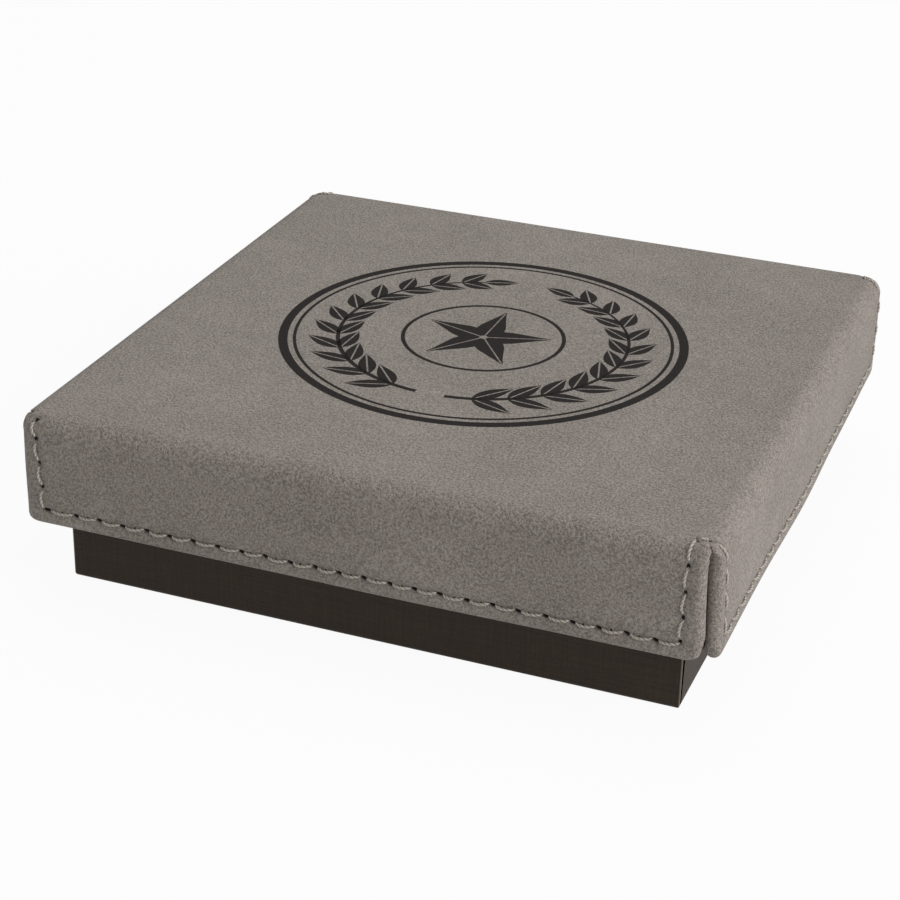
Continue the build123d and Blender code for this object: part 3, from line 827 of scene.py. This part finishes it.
# Emblem on the lid.
# A traditional laurel wreath round a star, burnt into the leatherette by a laser, so the dark
# layer under the grey face shows. Each shape is a thin flat piece that follows the surface.
emblem_rings = ((29.6, 31.0), (28.3, 28.8), (11.9, 12.5))       # inner and outer radii
burn_sides = (-0.05, 0.018)         # a shape's underside and face, from the lid's top
wreath_radius = 22.0
stem_start = 0.10                   # angle left free between the two stems, below
stem_stop = 0.35                    # and above
stem_half_widths = (0.42, 0.16)
leaf_pairs = 11
leaf_start = 0.28
leaf_step = 0.235
leaf_length = 7.2
leaf_shrink = 0.16                  # each pair is that much shorter
leaf_width = 2.7
leaf_spread = 0.62                  # angle between a leaf and the stem
tip_leaf = (5.6, 2.4)               # length and width
vein_half = 0.13
star_points = 5
star_reach = 10.2
star_hollow = 4.1
star_cut = 0.12                     # half of the line left bare along each ray
star_turn = 0.36                    # share of a ray's length where its edge turns outwards


def lid_top(x, y):
    """Height of the crowned top, as in the cover's own form."""
    return top + crown_height(x, y)


def ribbon(left, right):
    """A thin flat piece between two edges, each a list of x and y points of the same length."""
    under, face = burn_sides
    loop = []
    for rim, lift in ((left, under), (left, face), (right, face), (right, under), (left, under)):
        x, y = rim.T
        loop.append(np.stack([x, y, lid_top(x, y) + lift], -1))
    return np.stack(loop)


def ring(inner, outer):
    """A flat ring between two circles."""
    angle = np.linspace(0, 2 * math.pi, 120)
    unit = np.stack([np.cos(angle), np.sin(angle)], -1)
    return ribbon(unit * inner, unit * outer)


def leaf(root, heading, length, width):
    """A laurel leaf: its half width is a sine along the length, leaning towards the root, and a
    narrow vein is left between its two halves."""
    share = np.linspace(0, 1, 15)
    forward = np.array([math.cos(heading), math.sin(heading)])
    side = np.array([-forward[1], forward[0]])
    spine = root + share[:, None] * length * forward
    swell = width / 2 * np.sin(math.pi * share ** 0.8)
    vein = np.minimum(vein_half, swell)
    return [ribbon(spine + side * (sign * vein)[:, None], spine + side * (sign * swell)[:, None])
            for sign in (1, -1)]


def on_wreath(angle, side):
    """A point of the wreath's right half (1) or left half (-1), and its stem's heading there."""
    point = wreath_radius * np.array([side * math.cos(angle), math.sin(angle)])
    return point, math.atan2(math.cos(angle), -side * math.sin(angle))


emblem = [ring(inner, outer) for inner, outer in emblem_rings]
for side in (1, -1):
    stem = np.linspace(-math.pi / 2 + stem_start, math.pi / 2 - stem_stop, 60)
    unit = np.stack([side * np.cos(stem), np.sin(stem)], -1)
    taper = np.linspace(*stem_half_widths, 60)[:, None]
    emblem.append(ribbon(unit * (wreath_radius - taper), unit * (wreath_radius + taper)))
    for step in range(leaf_pairs):
        root, heading = on_wreath(-math.pi / 2 + leaf_start + step * leaf_step, side)
        for lean in (leaf_spread, -leaf_spread):
            emblem += leaf(root, heading + lean, leaf_length - leaf_shrink * step, leaf_width)
    emblem += leaf(*on_wreath(stem[-1], side), *tip_leaf)
for ray in range(star_points):
    tip = math.pi / 2 + ray * 2 * math.pi / star_points
    point = star_reach * np.array([math.cos(tip), math.sin(tip)])
    for sign in (1, -1):
        notch = tip + sign * math.pi / star_points
        hollow = star_hollow * np.array([math.cos(notch), math.sin(notch)])
        gap = star_cut * np.array([-math.sin(tip), math.cos(tip)]) * sign
        share = np.linspace(0.06, 1, 8)[:, None]
        outwards = hollow + (point - hollow) * (share - star_turn) / (1 - star_turn)
        edge = np.where(share < star_turn, share / star_turn * hollow, outwards)
        emblem.append(ribbon(share * point + gap, edge))

burnt = Finish("burnt_leatherette", Specular_IOR_Level=0.2)
char = burnt.noise(2400, 3.0, 0.7)
burnt.drive("Base Color", char.mix(srgb(26, 24, 23), srgb(58, 54, 52)))
burnt.drive("Roughness", 0.8 + char * 0.15)
burnt.bump(char, 0.00008)
laurel_emblem = weld("laurel_emblem", emblem, burnt.material, "lid", smooth=False)

# Studio.
# A white table and backdrop that the camera sees as plain white, with a soft shadow on the
# table, one large soft lamp low on the right, a weaker one above and an even pale sky.
floor_half = 2.0
floor_mesh = bpy.data.meshes.new("studio_floor")
floor_mesh.from_pydata([(x * floor_half, y * floor_half, 0) for x, y in ((-1, -1), (1, -1), (1, 1), (-1, 1))],
                       [], [(0, 1, 2, 3)])
floor = bpy.data.objects.new("studio_floor", floor_mesh)
bpy.context.scene.collection.objects.link(floor)
table_seen = 0.94           # how much of the table's own white the camera sees, beside its shadow
table_white = Finish("table_white", Base_Color=(0.86, 0.86, 0.86, 1), Roughness=0.9, Specular_IOR_Level=0.1)
glow = table_white.node("Emission", {}, {0: (1, 1, 1, 1), 1: 1.0})
camera_ray, glossy_ray, transmission_ray = (
    table_white.node("LightPath", output=output) for output in (0, 3, 6))
table_white.blend((camera_ray + glossy_ray + transmission_ray) * table_seen, glow)
floor_mesh.materials.append(table_white.material)

world = bpy.data.worlds.new("pale_sky")
bpy.context.scene.world = world
world.use_nodes = True
sky = world.node_tree
sky_light = sky.nodes["Background"]
sky_light.inputs[0].default_value = (1.0, 0.99, 0.98, 1)
sky_light.inputs[1].default_value = 0.35
sky_seen = sky.nodes.new("ShaderNodeBackground")
sky_seen.inputs[1].default_value = 1.0
sky_seen.inputs[0].default_value = (1, 1, 1, 1)
sky_mix = sky.nodes.new("ShaderNodeMixShader")
sky_path = sky.nodes.new("ShaderNodeLightPath")
sky.links.new(sky_path.outputs["Is Camera Ray"], sky_mix.inputs[0])
sky.links.new(sky_light.outputs[0], sky_mix.inputs[1])
sky.links.new(sky_seen.outputs[0], sky_mix.inputs[2])
sky.links.new(sky_mix.outputs[0], sky.nodes["World Output"].inputs[0])


def soft_lamp(name, place, size, watts, colour):
    """A square area lamp that faces the box."""
    data = bpy.data.lights.new(name, "AREA")
    data.size = size
    data.energy = watts
    data.color = colour
    lamp = bpy.data.objects.new(name, data)
    lamp.location = place
    lamp.rotation_euler = (Vector((0, 0, 0.015)) - Vector(place)).to_track_quat("-Z", "Y").to_euler()
    bpy.context.scene.collection.objects.link(lamp)


soft_lamp("right_softbox", (0.95, -0.12, 0.52), 0.55, 6.4, (1.0, 0.985, 0.965))
soft_lamp("top_softbox", (-0.1, 0.35, 0.88), 0.7, 1.8, (1.0, 0.99, 0.98))

# Camera.
# Found by fitting the box's edges in the photograph: a long lens a little above the lid,
# turned to the right of the front face and very slightly tilted.
azimuth = math.radians(20.736)
elevation = math.radians(26.485)
tilt = math.radians(1.261)
target = Vector((-1.987, -7.989, 12.0)) * mm
distance = 341.9 * mm
focal_pixels = 2251.70
photo_pixels = 900
camera_data = bpy.data.cameras.new("camera")
camera = bpy.data.objects.new("camera", camera_data)
bpy.context.scene.collection.objects.link(camera)
bpy.context.scene.camera = camera
camera_data.sensor_width = 36.0
camera_data.lens = camera_data.sensor_width * focal_pixels / photo_pixels
camera_data.clip_start = 0.01
camera_data.clip_end = 20.0
back = Vector((math.sin(azimuth) * math.cos(elevation),
               -math.cos(azimuth) * math.cos(elevation), math.sin(elevation)))
right = Vector((0, 0, 1)).cross(back).normalized()
upward = back.cross(right)
turned_right = right * math.cos(tilt) + upward * math.sin(tilt)
turned_up = upward * math.cos(tilt) - right * math.sin(tilt)
axes = Matrix((turned_right, turned_up, back)).transposed()
camera.matrix_world = Matrix.Translation(target + back * distance) @ axes.to_4x4()

scene = bpy.context.scene
scene.view_settings.view_transform = "Standard"
